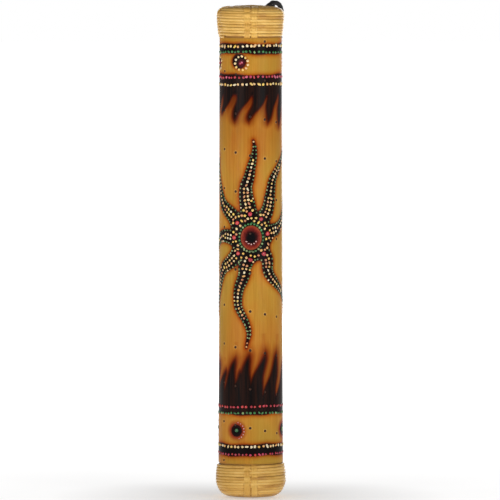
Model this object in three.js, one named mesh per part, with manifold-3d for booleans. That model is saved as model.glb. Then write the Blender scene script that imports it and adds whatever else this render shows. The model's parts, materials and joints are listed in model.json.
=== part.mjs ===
// Bamboo rainstick: a drilled bamboo tube with a helix of pegs driven through its wall, loose
// pebbles and seeds inside, a wooden plug in each end, a coiled rattan cap bound over each end
// with woven rattan ties, and a black hanging cord knotted into the top.
// Units are millimetres. +Z runs up the stick, -Y is its decorated front.
import * as THREE from 'three';
import { mergeVertices } from 'three/addons/utils/BufferGeometryUtils.js';
import Module from 'manifold-3d';

const wasm = await Module();
wasm.setup();

// Driving dimensions
const LENGTH = 404.5;            // over both rattan caps, without the cord
const GAP = 0.3;                 // clearance between touching pieces
const BORE_RADIUS = 21;
const TOP_CAP_THICKNESS = 4;     // rattan over the tube's upper end
const BOTTOM_CAP_THICKNESS = 7.5;
const PLUG_THICKNESS = 12;
const TOP_CAP_EDGE = LENGTH - 27.3;
const BOTTOM_CAP_EDGE = 29.3;
const TOP_SEAT_RADIUS = 24.3;    // tube shaved down under the top cap
const BOTTOM_SEAT_RADIUS = 24.8; // tube shaved down under the bottom cap
const FOOT_RADIUS = 19.5;        // flat underside that the stick stands on

const PEG_SIDES = 4;
const PEG_RADIUS = 1.42;         // half the diagonal of a square sliver
const PEG_STEP = 2.454;          // drop from one peg to the next
const PEGS_PER_TURN = 13;
const PEG_COUNT = 141;
const TOP_PEG_HEIGHT = 375;
const TOP_PEG_INDEX = -51;       // counted from the peg nearest the middle of the front
const FRONT_PEG_ANGLE = -1;      // degrees round from the front, positive to the right
const PEG_HEAD_PROUD = 0.15;
const PEG_TIP = 1;               // past the axis

const PEBBLE_RADIUS = 2.5;
const PEBBLE_RING = 18;
const SEED_RADIUS = 1;
const SEED_RING = 11;

const TIE_WIDTH = 5.4;
const TIE_DEPTH = 0.7;
const TOP_TIE_ANGLES = [0, 180, 270];      // from the front; the cord lies between two
const BOTTOM_TIE_ANGLES = [0, 120, 240];
const TIE_SPACING = 6.2;         // between the two ties of a pair
const TOP_TIE_START = 11;        // distance from the axis where the ties begin
const BOTTOM_TIE_START = FOOT_RADIUS + 1;
const CORD_RADIUS = 2;
const KNOT_RADIUS = 3.1;
const POCKET_RADIUS = KNOT_RADIUS + 0.5;

const TUBE_SEGMENTS = 3 * PEGS_PER_TURN;
const CAP_SEGMENTS = 36;
const SLAB_HEIGHT = 60;

const TUBE_BOTTOM = BOTTOM_CAP_THICKNESS + GAP;
const TUBE_TOP = LENGTH - TOP_CAP_THICKNESS - GAP;
const FLOOR_HEIGHT = TUBE_BOTTOM + PLUG_THICKNESS;
const TURN_ANGLE = 360 / PEGS_PER_TURN;

const COLOURS = {
  bamboo: 0xd79a3f,
  plug: 0xb98a55,
  rattan: 0xd9b36a,
  tie: 0xcf9f52,
  peg: 0x2b1a10,
  pebble: 0x8f8578,
  seed: 0x5a3a22,
  cord: 0x111111,
};

const stick = new THREE.Group();

function addPiece(name, geometry, colour, roughness) {
  const material = new THREE.MeshStandardMaterial({ color: colour, roughness, metalness: 0 });
  const mesh = new THREE.Mesh(geometry, material);
  mesh.name = name;
  stick.add(mesh);
}

// Solids for cutting and joining
function solidOf(geometry) {
  const bare = geometry.clone();
  bare.deleteAttribute('normal');
  bare.deleteAttribute('uv');
  const merged = mergeVertices(bare);
  return new wasm.Manifold(new wasm.Mesh({
    numProp: 3,
    vertProperties: new Float32Array(merged.attributes.position.array),
    triVerts: new Uint32Array(merged.index.array),
  }));
}

function geometryOf(solid) {
  const mesh = solid.getMesh();
  const geometry = new THREE.BufferGeometry();
  geometry.setAttribute('position', new THREE.BufferAttribute(mesh.vertProperties, 3));
  geometry.setIndex(new THREE.BufferAttribute(mesh.triVerts, 1));
  geometry.computeVertexNormals();
  return geometry;
}

// A profile holds points of (radius, height); the lathe turns about +Z.
function turned(profile, segments) {
  return new THREE.LatheGeometry(profile, segments).rotateX(Math.PI / 2);
}

function point(radius, height) {
  return new THREE.Vector2(radius, height);
}

// Direction round the stick: 0 degrees is the front (-Y), positive turns to the right (+X).
function around(angleFromFront, radius, height) {
  const angle = THREE.MathUtils.degToRad(angleFromFront);
  return new THREE.Vector3(radius * Math.sin(angle), -radius * Math.cos(angle), height);
}

// A slab standing on its edge, from the axis outwards in one direction, shifted sideways.
function radialSlab(angleFromFront, sideways, width) {
  const reach = 40;
  const slab = new THREE.BoxGeometry(width, reach, SLAB_HEIGHT);
  slab.translate(sideways, -reach / 2, 0);
  slab.rotateZ(THREE.MathUtils.degToRad(angleFromFront));
  return slab;
}

// Bamboo tube: a gently tapering wall with a shaved seat for the cap at each end.
const wallCurve = new THREE.SplineCurve([
  point(26.5, BOTTOM_CAP_EDGE + GAP),
  point(26.25, 98),
  point(26.03, 170),
  point(25.87, 245),
  point(25.55, TOP_CAP_EDGE - GAP),
]);
const WALL_STEPS = 5;
const wallPoints = wallCurve.getPoints(WALL_STEPS);

function wallRadius(height) {
  const last = wallPoints.length - 1;
  for (let i = 0; i < last; i++) {
    const low = wallPoints[i];
    const high = wallPoints[i + 1];
    if (height <= high.y || i === last - 1) {
      const share = (height - low.y) / (high.y - low.y);
      return THREE.MathUtils.lerp(low.x, high.x, share);
    }
  }
  return wallPoints[last].x;
}

const tubeProfile = [
  point(BORE_RADIUS, TUBE_BOTTOM),
  point(BOTTOM_SEAT_RADIUS, TUBE_BOTTOM),
  point(BOTTOM_SEAT_RADIUS, BOTTOM_CAP_EDGE + GAP),
  ...wallPoints,
  point(TOP_SEAT_RADIUS, TOP_CAP_EDGE - GAP),
  point(TOP_SEAT_RADIUS, TUBE_TOP),
  point(BORE_RADIUS, TUBE_TOP),
  point(BORE_RADIUS, TUBE_BOTTOM),
];

// Pegs: square slivers, an edge uppermost, driven in towards the axis. Each one stands a step
// lower than the last.
function pegHeight(index) {
  return TOP_PEG_HEIGHT - (index - TOP_PEG_INDEX) * PEG_STEP;
}

function pegRod(index, radius, outerEnd, innerEnd) {
  const rod = new THREE.CylinderGeometry(radius, radius, outerEnd - innerEnd, PEG_SIDES);
  rod.rotateZ(-Math.PI / 2);
  rod.translate((outerEnd + innerEnd) / 2, 0, 0);
  rod.rotateZ(THREE.MathUtils.degToRad(FRONT_PEG_ANGLE + index * TURN_ANGLE - 90));
  rod.translate(0, 0, pegHeight(index));
  return rod;
}

const HOLE_RADIUS = PEG_RADIUS + GAP;
const HOLE_OUTER_END = BORE_RADIUS + 8;
const HOLE_INNER_END = BORE_RADIUS - 2;
let tube = solidOf(turned(tubeProfile, TUBE_SEGMENTS));
for (let i = 0; i < PEG_COUNT; i++) {
  const index = TOP_PEG_INDEX + i;
  tube = tube.subtract(solidOf(pegRod(index, HOLE_RADIUS, HOLE_OUTER_END, HOLE_INNER_END)));
}
addPiece('bamboo_tube', geometryOf(tube), COLOURS.bamboo, 0.35);

// One node for each full turn of the helix. Its pegs meet at the axis, and a thin parting
// disc keeps the turn clear of the turns above and below it.
const PARTING_RADIUS = 7;
const PARTING_THICKNESS = 0.5;
function partingDisc(upperIndex) {
  const disc = new THREE.CylinderGeometry(PARTING_RADIUS, PARTING_RADIUS, PARTING_THICKNESS, 16);
  disc.rotateX(Math.PI / 2);
  disc.translate(0, 0, pegHeight(upperIndex) - PEG_STEP / 2);
  return solidOf(disc);
}

const turns = Math.ceil(PEG_COUNT / PEGS_PER_TURN);
for (let turn = 0; turn < turns; turn++) {
  const first = TOP_PEG_INDEX + turn * PEGS_PER_TURN;
  const last = Math.min(first + PEGS_PER_TURN, TOP_PEG_INDEX + PEG_COUNT) - 1;
  let pegs = null;
  for (let index = first; index <= last; index++) {
    const outerEnd = wallRadius(pegHeight(index)) + PEG_HEAD_PROUD;
    const peg = solidOf(pegRod(index, PEG_RADIUS, outerEnd, -PEG_TIP));
    pegs = pegs ? pegs.add(peg) : peg;
  }
  pegs = pegs.subtract(partingDisc(first - 1)).subtract(partingDisc(last));
  const label = String(turn + 1).padStart(2, '0');
  addPiece(`peg_turn_${label}`, geometryOf(pegs), COLOURS.peg, 0.7);
}

// Hanging cord: out of the top through the rattan, over the shoulder, down the back, and up
// and in again. Heights are measured from the crown of the top cap.
const cordRoute = [
  [9.6, -1.0, -6.2], [12.0, 1.8, -3.4], [14.4, 4.6, -1.1], [16.9, 7.4, 0.5],
  [19.4, 10.2, 1.2], [21.8, 12.9, 0.8], [23.8, 15.2, -1.0], [25.0, 16.7, -4.3],
  [25.3, 17.3, -8.9], [25.0, 17.5, -15], [24.5, 17.6, -22], [23.8, 17.6, -30],
  [23.1, 17.5, -39], [22.6, 17.4, -48], [22.5, 17.4, -56], [22.2, 17.8, -63.5],
  [21.2, 19.0, -68.8], [19.1, 21.0, -71.7], [16.2, 23.3, -72.6], [12.9, 25.4, -71.6],
  [10.2, 26.6, -68.6], [8.8, 27.0, -63.5], [8.5, 27.1, -56], [8.8, 27.1, -48],
  [9.4, 27.1, -40], [10.5, 27.1, -32], [12.2, 27.1, -24], [14.2, 27.0, -16.5],
  [15.9, 26.7, -9.8], [17.3, 25.4, -4.4], [18.2, 23.0, -0.8], [18.4, 20.1, 0.9],
  [17.8, 17.1, 1.1], [16.5, 14.2, 0.0], [14.5, 11.6, -2.4], [12.0, 9.1, -5.6],
].map(([x, y, z]) => new THREE.Vector3(x, y, LENGTH + z));
const cordCurve = new THREE.CatmullRomCurve3(cordRoute, false, 'centripetal');
const CORD_STEPS = 62;

function cordTube(radius, steps) {
  const section = new THREE.Shape();
  const sides = 8;
  for (let i = 0; i < sides; i++) {
    const angle = (2 * Math.PI * i) / sides;
    const x = radius * Math.cos(angle);
    const y = radius * Math.sin(angle);
    if (i === 0) section.moveTo(x, y);
    else section.lineTo(x, y);
  }
  section.closePath();
  return new THREE.ExtrudeGeometry(section, {
    steps,
    extrudePath: cordCurve,
    curveSegments: 1,
  });
}
addPiece('hanging_cord', cordTube(CORD_RADIUS, CORD_STEPS), COLOURS.cord, 0.8);
const CORD_HOLE_RADIUS = CORD_RADIUS + GAP + 0.05;
const cordClearance = solidOf(cordTube(CORD_HOLE_RADIUS, CORD_STEPS));

// Each end of the cord is knotted in a pocket under the cap.
function knotCentre(end, next) {
  const inward = end.clone().sub(next).normalize();
  return end.clone().addScaledVector(inward, KNOT_RADIUS + GAP + 0.1);
}
const knots = [
  knotCentre(cordRoute[0], cordRoute[1]),
  knotCentre(cordRoute.at(-1), cordRoute.at(-2)),
];
const pockets = [];
knots.forEach((centre, i) => {
  const knot = new THREE.SphereGeometry(KNOT_RADIUS, 12, 8);
  knot.translate(centre.x, centre.y, centre.z);
  addPiece(`cord_knot_${i + 1}`, knot, COLOURS.cord, 0.8);
  const pocketBottom = centre.z - POCKET_RADIUS;
  const depth = LENGTH - pocketBottom;
  const pocket = new THREE.CylinderGeometry(POCKET_RADIUS, POCKET_RADIUS, depth, 16);
  pocket.rotateX(Math.PI / 2);
  pocket.translate(centre.x, centre.y, pocketBottom + depth / 2);
  pockets.push(solidOf(pocket));
});

// Plugs: chamfered wooden discs pressed into the bore, flush with the tube's ends.
const PLUG_CHAMFER = 1.2;
function plugGeometry(outerFace, inward) {
  const radius = BORE_RADIUS - GAP;
  const innerFace = outerFace + inward * PLUG_THICKNESS;
  const chamferFace = innerFace - inward * PLUG_CHAMFER;
  const profile = [
    point(0, outerFace),
    point(radius, outerFace),
    point(radius, chamferFace),
    point(radius - PLUG_CHAMFER, innerFace),
    point(0, innerFace),
  ];
  if (inward < 0) profile.reverse();
  return turned(profile, 36);
}
addPiece('bottom_plug', plugGeometry(TUBE_BOTTOM, 1), COLOURS.plug, 0.75);
let topPlug = solidOf(plugGeometry(TUBE_TOP, -1)).subtract(cordClearance);
for (const pocket of pockets) {
  topPlug = topPlug.subtract(pocket);
}
addPiece('top_plug', geometryOf(topPlug), COLOURS.plug, 0.75);

// Rattan caps: outlines of (radius, depth from the crown), from the axis to the cap's edge.
function topOutline() {
  const path = new THREE.Path();
  path.moveTo(0, 0);
  path.quadraticCurveTo(14, 0.2, 22, 1.8);
  path.quadraticCurveTo(27.7, 3.2, 27.7, 9.3);
  path.quadraticCurveTo(27.6, 17, 26, LENGTH - TOP_CAP_EDGE);
  return path.getPoints(3);
}

function bottomOutline() {
  const path = new THREE.Path();
  path.moveTo(0, 0);
  path.lineTo(FOOT_RADIUS, 0);
  path.quadraticCurveTo(26.5, 2.2, 28.95, 13);
  path.quadraticCurveTo(29, 24, 27.2, BOTTOM_CAP_EDGE);
  return path.getPoints(4);
}

// The outline moved along its own normals, outwards for a positive distance.
function offsetOutline(outline, distance) {
  return outline.map((here, i) => {
    const before = outline[Math.max(i - 1, 0)];
    const after = outline[Math.min(i + 1, outline.length - 1)];
    const along = after.clone().sub(before).normalize();
    return point(here.x + along.y * distance, here.y - along.x * distance);
  });
}

// Turns a closed profile of (radius, depth) into a solid at its end of the stick.
function capSolid(profile, atTop) {
  const placed = profile.map(({ x, y }) => point(x, atTop ? LENGTH - y : y));
  if (atTop) placed.reverse();
  return solidOf(turned(placed, CAP_SEGMENTS));
}

function bandSolid(outline, outside, inside, atTop) {
  const outer = offsetOutline(outline, outside);
  const inner = offsetOutline(outline, -inside).reverse();
  return capSolid([...outer, ...inner, outer[0]], atTop);
}

function makeCap(name, outline, seatRadius, thickness, tieAngles, tieStart) {
  const atTop = name === 'top';
  const edgeDepth = outline.at(-1).y;
  const skirtRadius = seatRadius + GAP;
  let cap = capSolid([
    ...outline,
    point(skirtRadius, edgeDepth),
    point(skirtRadius, thickness),
    point(0, thickness),
  ], atTop);
  const side = outline.filter(({ x }) => x >= tieStart);
  const middle = atTop ? LENGTH : 0;
  const ties = [];
  for (const angle of tieAngles) {
    for (const half of [-0.5, 0.5]) {
      const sideways = half * TIE_SPACING;
      const slab = solidOf(radialSlab(angle, sideways, TIE_WIDTH)).translate(0, 0, middle);
      const wide = solidOf(radialSlab(angle, sideways, TIE_WIDTH + 2 * GAP))
        .translate(0, 0, middle);
      cap = cap.subtract(bandSolid(side, 3, TIE_DEPTH + GAP, atTop).intersect(wide));
      ties.push(bandSolid(side, 0, TIE_DEPTH, atTop).intersect(slab));
    }
  }
  if (atTop) cap = cap.subtract(cordClearance);
  addPiece(`${name}_rattan_cap`, geometryOf(cap), COLOURS.rattan, 0.55);
  ties.forEach((tie, i) => {
    addPiece(`${name}_rattan_tie_${i + 1}`, geometryOf(tie), COLOURS.tie, 0.55);
  });
}
makeCap(
  'top',
  topOutline(),
  TOP_SEAT_RADIUS,
  TOP_CAP_THICKNESS,
  TOP_TIE_ANGLES,
  TOP_TIE_START,
);
makeCap(
  'bottom',
  bottomOutline(),
  BOTTOM_SEAT_RADIUS,
  BOTTOM_CAP_THICKNESS,
  BOTTOM_TIE_ANGLES,
  BOTTOM_TIE_START,
);

// Loose filling: a pebble and a seed in each clear channel between the columns of pegs.
for (let i = 0; i < PEGS_PER_TURN; i++) {
  const angle = FRONT_PEG_ANGLE + (i + 0.5) * TURN_ANGLE;
  const label = String(i + 1).padStart(2, '0');
  const pebble = new THREE.IcosahedronGeometry(PEBBLE_RADIUS, 1);
  pebble.scale(1, 1 - 0.04 * (i % 3), 1);
  pebble.rotateZ(i).rotateX(0.5 * i);
  const pebblePlace = around(angle, PEBBLE_RING, FLOOR_HEIGHT + GAP + PEBBLE_RADIUS);
  pebble.translate(pebblePlace.x, pebblePlace.y, pebblePlace.z);
  addPiece(`pebble_${label}`, pebble, COLOURS.pebble, 0.6);

  const seed = new THREE.IcosahedronGeometry(SEED_RADIUS, 0);
  const seedPlace = around(angle, SEED_RING, FLOOR_HEIGHT + GAP + SEED_RADIUS);
  seed.translate(seedPlace.x, seedPlace.y, seedPlace.z);
  addPiece(`seed_${label}`, seed, COLOURS.seed, 0.6);
}

export default stick;
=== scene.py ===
"""Looks of the bamboo rainstick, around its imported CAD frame.

Metres, +Z up the stick, -Y to its painted front. MM turns millimetres into metres. A place on
the tube is an angle in degrees round from the front, positive to the right, and a height.
"""

import json
import math

import bmesh
import bpy
import numpy as np
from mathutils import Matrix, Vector


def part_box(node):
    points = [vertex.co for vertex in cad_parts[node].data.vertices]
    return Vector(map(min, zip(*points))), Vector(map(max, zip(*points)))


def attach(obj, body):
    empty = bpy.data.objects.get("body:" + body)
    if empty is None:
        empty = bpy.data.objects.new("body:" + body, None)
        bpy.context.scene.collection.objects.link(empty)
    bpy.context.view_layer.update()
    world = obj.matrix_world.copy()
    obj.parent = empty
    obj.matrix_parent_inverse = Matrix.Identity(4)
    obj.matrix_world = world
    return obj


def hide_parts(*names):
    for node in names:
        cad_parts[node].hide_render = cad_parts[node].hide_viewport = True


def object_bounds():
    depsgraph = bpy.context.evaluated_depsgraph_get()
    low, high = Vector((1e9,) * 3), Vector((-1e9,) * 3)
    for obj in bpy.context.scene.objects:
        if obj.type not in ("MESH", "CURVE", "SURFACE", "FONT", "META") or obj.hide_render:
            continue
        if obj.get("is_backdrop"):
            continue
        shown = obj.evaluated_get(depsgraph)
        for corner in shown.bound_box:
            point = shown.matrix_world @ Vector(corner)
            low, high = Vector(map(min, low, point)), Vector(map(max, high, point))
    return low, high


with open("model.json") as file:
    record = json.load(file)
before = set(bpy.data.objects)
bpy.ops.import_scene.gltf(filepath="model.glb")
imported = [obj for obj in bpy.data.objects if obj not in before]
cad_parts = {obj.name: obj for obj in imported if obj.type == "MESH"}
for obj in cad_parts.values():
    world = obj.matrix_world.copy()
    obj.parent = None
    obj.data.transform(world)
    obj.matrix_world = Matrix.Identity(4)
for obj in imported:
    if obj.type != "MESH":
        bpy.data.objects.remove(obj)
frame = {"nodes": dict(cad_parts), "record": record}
cad_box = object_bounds()

MM = 0.001
BODY = "stick"

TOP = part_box("top_rattan_cap")[1][2]
TOP_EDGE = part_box("top_rattan_cap")[0][2]
BOTTOM_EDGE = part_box("bottom_rattan_cap")[1][2]


# ---------------------------------------------------------------- camera, light and floor

CAMERA_DISTANCE = 6.5
CAMERA_HEIGHT = 0.576
LENS = 571
AIM = Vector((-0.6 * MM, 0, 0.2031))
LIT = Vector((0, 0, 0.2))        # what every light points at


def make_camera():
    data = bpy.data.cameras.new("camera")
    data.lens = LENS
    data.clip_end = 50
    camera = placed("camera", data)
    camera.location = (AIM.x, -CAMERA_DISTANCE, CAMERA_HEIGHT)
    camera.rotation_euler = (AIM - camera.location).to_track_quat("-Z", "Y").to_euler()
    bpy.context.scene.camera = camera


def area_light(name, place, size, power):
    data = bpy.data.lights.new(name, "AREA")
    data.shape = "RECTANGLE"
    data.size, data.size_y = size
    data.energy = power
    light = placed(name, data)
    light.location = place
    aim = LIT - light.location
    light.rotation_euler = aim.to_track_quat("-Z", "Y").to_euler()


def make_light():
    area_light("key", (1.55, -1.85, 0.6), (1.3, 1.2), 18)
    area_light("fill", (-1.55, -1.85, 0.5), (1.3, 1.2), 17)
    area_light("strip", (-1.5, -0.35, 0.35), (0.08, 1.0), 0.7)
    area_light("rear", (0.3, 2.2, 0.5), (1.4, 1.0), 14)
    world = bpy.data.worlds.new("studio")
    world.use_nodes = True
    nodes, links = world.node_tree.nodes, world.node_tree.links
    background = nodes["Background"]
    background.inputs["Color"].default_value = (1, 1, 1, 1)
    # The paper behind is lit to white, while the room lights the stick only dimly.
    seen = nodes.new("ShaderNodeLightPath")
    strength = nodes.new("ShaderNodeMapRange")
    strength.inputs["To Min"].default_value = 0.13
    strength.inputs["To Max"].default_value = 1.0
    links.new(seen.outputs["Is Camera Ray"], strength.inputs["Value"])
    links.new(strength.outputs["Result"], background.inputs["Strength"])
    bpy.context.scene.world = world
    bpy.context.scene.view_settings.view_transform = "Standard"


def make_floor():
    """White sweep that glows with painted light, dim near the stick and brighter away from it, so a
    darker pool lies round its foot.
    """
    mesh = bpy.data.meshes.new("floor")
    build = bmesh.new()
    bmesh.ops.create_grid(build, x_segments=1, y_segments=1, size=12)
    build.to_mesh(mesh)
    build.free()
    floor = placed("floor", mesh)
    floor.location.z = -0.2 * MM
    n = Nodes("pale_floor")
    reach = n.add("ShaderNodeVectorMath", operation="LENGTH")
    n.link(n.place(), reach.inputs[0])
    n.set(
        Base_Color=(0.9, 0.9, 0.9, 1),
        Roughness=0.9,
        Emission_Color=(1, 1, 1, 1),
        # Painted light: the floor glows, dim round the stick's foot and brighter further out.
        Emission_Strength=n.ramp(
            n.range(reach.outputs["Value"], 0.03, 1.0),
            [(0, (0.36,) * 3), (0.14, (0.66,) * 3), (1, (0.95,) * 3)],
        ),
    )
    mesh.materials.append(n.material)
    floor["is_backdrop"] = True


# ---------------------------------------------------------------- node helpers


class Nodes:
    """A material's node tree, with one short call for each kind of node."""

    def __init__(self, name):
        self.material = bpy.data.materials.new(name)
        self.material.use_nodes = True
        self.tree = self.material.node_tree
        self.shader = self.tree.nodes["Principled BSDF"]

    def add(self, kind, **settings):
        node = self.tree.nodes.new(kind)
        for key, value in settings.items():
            setattr(node, key, value)
        return node

    def link(self, source, target):
        self.tree.links.new(source, target)

    def feed(self, node, name, value):
        if hasattr(value, "is_output"):
            self.link(value, node.inputs[name])
        else:
            node.inputs[name].default_value = value

    def place(self, scale=(1, 1, 1)):
        coordinates = self.add("ShaderNodeTexCoord")
        mapping = self.add("ShaderNodeMapping")
        mapping.inputs["Scale"].default_value = scale
        self.link(coordinates.outputs["Object"], mapping.inputs["Vector"])
        return mapping.outputs["Vector"]

    def noise(self, vector, scale, detail=4, roughness=0.55):
        node = self.add("ShaderNodeTexNoise")
        self.link(vector, node.inputs["Vector"])
        node.inputs["Scale"].default_value = scale
        node.inputs["Detail"].default_value = detail
        node.inputs["Roughness"].default_value = roughness
        return node.outputs["Fac"]

    def attribute(self, name, output="Fac"):
        return self.add("ShaderNodeAttribute", attribute_name=name).outputs[output]

    def range(self, value, low, high, to_low=0.0, to_high=1.0):
        node = self.add("ShaderNodeMapRange")
        self.link(value, node.inputs["Value"])
        numbers = {"From Min": low, "From Max": high, "To Min": to_low, "To Max": to_high}
        for name, number in numbers.items():
            node.inputs[name].default_value = number
        return node.outputs["Result"]

    def math(self, operation, first, second=0.0):
        node = self.add("ShaderNodeMath", operation=operation)
        self.feed(node, 0, first)
        self.feed(node, 1, second)
        return node.outputs["Value"]

    def times(self, first, second):
        return self.math("MULTIPLY", first, second)

    def plus(self, first, second):
        return self.math("ADD", first, second)

    def swing(self, value, size):
        """How far a value is from a half, times a size."""
        return self.times(self.math("SUBTRACT", value, 0.5), size)

    def tones(self, value, *stops):
        """Ramp through 8-bit sRGB colours, each given as (position, red, green, blue)."""
        return self.ramp(value, [(at, srgb(*colour)) for at, *colour in stops])

    def ramp(self, value, stops):
        node = self.add("ShaderNodeValToRGB")
        self.link(value, node.inputs["Fac"])
        elements = node.color_ramp.elements
        elements[0].position, elements[1].position = stops[0][0], stops[-1][0]
        for position, _ in stops[1:-1]:
            elements.new(position)
        for element, (_, colour) in zip(elements, stops):
            element.color = (*colour, 1)
        return node.outputs["Color"]

    def mix(self, factor, first, second, blend="MIX"):
        node = self.add("ShaderNodeMix", data_type="RGBA", blend_type=blend)
        self.feed(node, "Factor", factor)
        for socket, value in ((6, first), (7, second)):  # the colours called A and B
            self.feed(node, socket, value if hasattr(value, "is_output") else (*value, 1))
        return node.outputs[2]

    def bump(self, height, distance, strength):
        node = self.add("ShaderNodeBump")
        node.inputs["Strength"].default_value = strength
        node.inputs["Distance"].default_value = distance
        self.link(height, node.inputs["Height"])
        return node.outputs["Normal"]

    def set(self, **inputs):
        for name, value in inputs.items():
            self.feed(self.shader, name.replace("_", " "), value)


# ---------------------------------------------------------------- mesh helpers


def placed(name, data):
    """New object, in the scene at the origin."""
    thing = bpy.data.objects.new(name, data)
    bpy.context.collection.objects.link(thing)
    return thing


def new_object(name, mesh, material, slot, body=BODY):
    """Visible piece of one material, riding on a body."""
    mesh.materials.append(material)
    mesh.shade_smooth()
    piece = placed(name, mesh)
    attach(piece, body)
    return piece


def mesh_from(name, vertices, faces):
    mesh = bpy.data.meshes.new(name)
    mesh.from_pydata([tuple(v) for v in vertices], [], faces)
    mesh.validate()
    return mesh


def add_float(mesh, name, values):
    layer = mesh.attributes.new(name, "FLOAT", "POINT")
    layer.data.foreach_set("value", np.asarray(values, dtype=np.float32))


def add_colour(mesh, name, values):
    layer = mesh.color_attributes.new(name, "FLOAT_COLOR", "POINT")
    rgba = np.ones((len(values), 4), dtype=np.float32)
    rgba[:, :3] = values
    layer.data.foreach_set("color", rgba.ravel())


def travel(path):
    """How far along a path each of its points lies."""
    return np.concatenate([[0], np.cumsum(np.linalg.norm(np.diff(path, axis=0), axis=1))])


def bands(first, rings, sides, loop=False):
    """Faces between rings of points, the first of which has the index first."""
    faces = []
    for ring in range(rings if loop else rings - 1):
        here, there = first + ring * sides, first + (ring + 1) % rings * sides
        for j in range(sides):
            k = (j + 1) % sides
            faces.append((here + j, here + k, there + k, there + j))
    return faces


def lid(first, sides):
    """Face that closes the first ring of a tube."""
    return tuple(range(first + sides - 1, first - 1, -1))


def rod(first, rings, sides):
    """Faces of a tube with both ends closed."""
    last = first + (rings - 1) * sides
    return [*bands(first, rings, sides), lid(first, sides), tuple(range(last, last + sides))]


def smoothstep(low, high, x):
    t = np.clip((x - low) / (high - low), 0, 1)
    return t * t * (3 - 2 * t)


def srgb(red, green, blue):
    """Linear colour of an 8-bit sRGB one."""

    def channel(value):
        value /= 255
        return value / 12.92 if value <= 0.04045 else ((value + 0.055) / 1.055) ** 2.4

    return tuple(channel(v) for v in (red, green, blue))


def around(angle, radius, height):
    """Point at an angle in degrees from the front, in metres."""
    turn = math.radians(angle)
    return Vector((radius * math.sin(turn), -radius * math.cos(turn), height))


def spoke(angle):
    """Directions straight out of the tube and sideways along it, at an angle in degrees."""
    turn = math.radians(angle)
    outward = np.array((math.sin(turn), -math.cos(turn), 0))
    return outward, np.array((math.cos(turn), math.sin(turn), 0))


def sweep(path, out, half_width, half_depth, sides=10, flat=1.0):
    """Closed tube along a path. out is each step's outward direction, which the depth follows.

    Returns vertices, faces, and for each vertex how far along the path and round the section
    it lies. flat squares the section off: 1 is an ellipse and lower is boxier.
    """
    path = np.asarray(path, dtype=float)
    out = np.asarray(out, dtype=float)
    along = np.gradient(path, axis=0)
    along /= np.linalg.norm(along, axis=1)[:, None]
    out = out - along * np.sum(out * along, axis=1)[:, None]
    out /= np.linalg.norm(out, axis=1)[:, None]
    side = np.cross(along, out)
    steps = len(path)
    half_width = np.broadcast_to(half_width, steps)
    half_depth = np.broadcast_to(half_depth, steps)
    turn = 2 * np.pi * np.arange(sides) / sides
    across = np.sign(np.cos(turn)) * np.abs(np.cos(turn)) ** flat
    deep = np.sign(np.sin(turn)) * np.abs(np.sin(turn)) ** flat
    points = (
        path[:, None, :]
        + side[:, None, :] * (half_width[:, None] * across)[:, :, None]
        + out[:, None, :] * (half_depth[:, None] * deep)[:, :, None]
    ).reshape(-1, 3)
    return points, rod(0, steps, sides), np.repeat(travel(path), sides), np.tile(turn, steps)


def catmull_rom(points, steps):
    """Smooth curve through the points, centripetal, with equal steps in each span."""
    points = np.asarray(points, dtype=float)
    ends = np.vstack([2 * points[0] - points[1], points, 2 * points[-1] - points[-2]])
    curve = []
    for i in range(len(points) - 1):
        p = ends[i : i + 4]
        t = np.concatenate(
            [[0], np.cumsum(np.linalg.norm(np.diff(p, axis=0), axis=1) ** 0.5)]
        )
        for s in np.linspace(t[1], t[2], steps, endpoint=False):
            a = [
                (p[j] * (t[j + 1] - s) + p[j + 1] * (s - t[j])) / (t[j + 1] - t[j])
                for j in range(3)
            ]
            b = [
                (a[j] * (t[j + 2] - s) + a[j + 1] * (s - t[j])) / (t[j + 2] - t[j])
                for j in range(2)
            ]
            curve.append((b[0] * (t[2] - s) + b[1] * (s - t[1])) / (t[2] - t[1]))
    curve.append(points[-1])
    return np.array(curve)


# ---------------------------------------------------------------- hanging cord

CORD_RADIUS = 2 * MM
# Millimetres, with heights from the crown of the top cap, as in part.mjs.
CORD_ROUTE = (
    (9.6, -1.0, -6.2), (12.0, 1.8, -3.4), (14.4, 4.6, -1.1), (16.9, 7.4, 0.5),
    (19.4, 10.2, 1.2), (21.8, 12.9, 0.8), (23.8, 15.2, -1.0), (25.0, 16.7, -4.3),
    (25.3, 17.3, -8.9), (25.0, 17.5, -15), (24.5, 17.6, -22), (23.8, 17.6, -30),
    (23.1, 17.5, -39), (22.6, 17.4, -48), (22.5, 17.4, -56), (22.2, 17.8, -63.5),
    (21.2, 19.0, -68.8), (19.1, 21.0, -71.7), (16.2, 23.3, -72.6), (12.9, 25.4, -71.6),
    (10.2, 26.6, -68.6), (8.8, 27.0, -63.5), (8.5, 27.1, -56), (8.8, 27.1, -48),
    (9.4, 27.1, -40), (10.5, 27.1, -32), (12.2, 27.1, -24), (14.2, 27.0, -16.5),
    (15.9, 26.7, -9.8), (17.3, 25.4, -4.4), (18.2, 23.0, -0.8), (18.4, 20.1, 0.9),
    (17.8, 17.1, 1.1), (16.5, 14.2, 0.0), (14.5, 11.6, -2.4), (12.0, 9.1, -5.6),
)


def cord_material():
    n = Nodes("braided_cord")
    fibre = n.noise(n.place(), 2200, 3, 0.6)
    n.set(
        Base_Color=n.tones(fibre, (0.3, 6, 6, 7), (0.75, 20, 19, 19)),
        Roughness=n.range(fibre, 0.2, 0.8, 0.55, 0.8),
        Normal=n.bump(fibre, 0.08 * MM, 0.6),
        Sheen_Weight=0.08,
    )
    return n.material


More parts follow.
